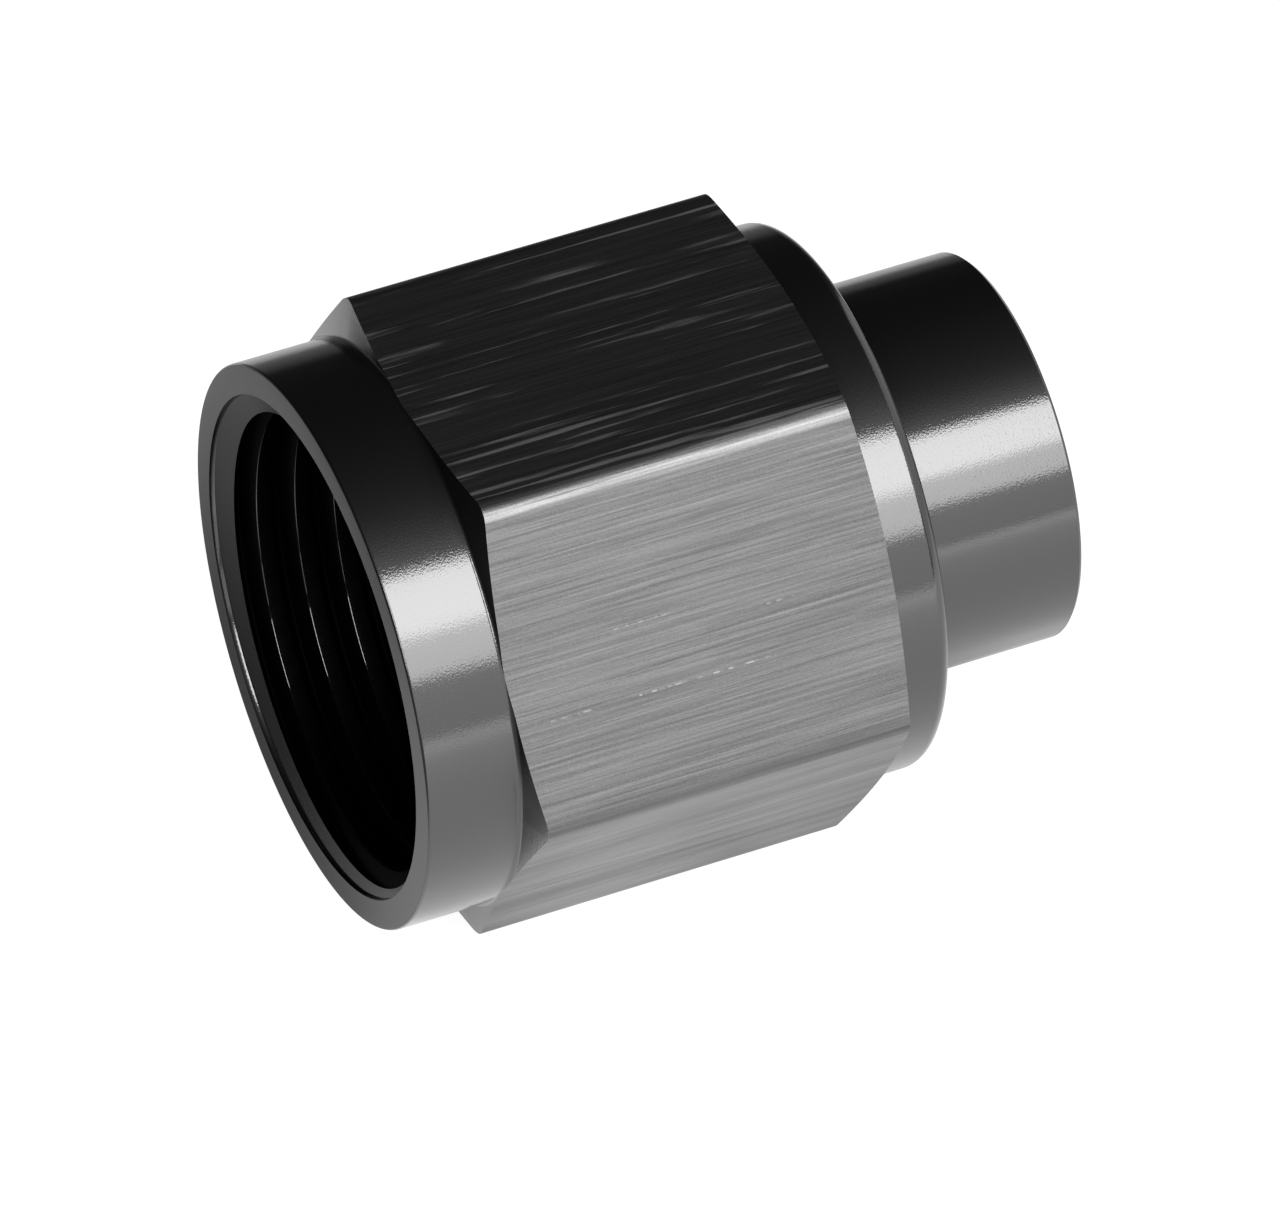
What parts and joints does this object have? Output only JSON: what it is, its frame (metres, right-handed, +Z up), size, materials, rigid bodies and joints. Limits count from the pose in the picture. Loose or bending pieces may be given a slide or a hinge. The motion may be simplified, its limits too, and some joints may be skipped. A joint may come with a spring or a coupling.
{
  "type": "threaded protection cap",
  "caption": "Threaded protection cap for a flared tube fitting: hexagon with a round collar, a land and a plain boss, and a blind threaded bore with a conical seat.",
  "frame": {"origin": "on the thread axis, in the plane of the mouth face", "axes": "+X from the mouth to the boss along the thread axis, +Z up, square to the hexagon flat that the cap lies on"},
  "size_m": [0.0325, 0.0292, 0.0254],
  "materials": {
    "anodised_aluminium": "black anodised, satin, with drawing lines along the flats"
  },
  "bodies": {
    "root": {"flare_cap": "anodised_aluminium"}
  },
  "joints": []
}
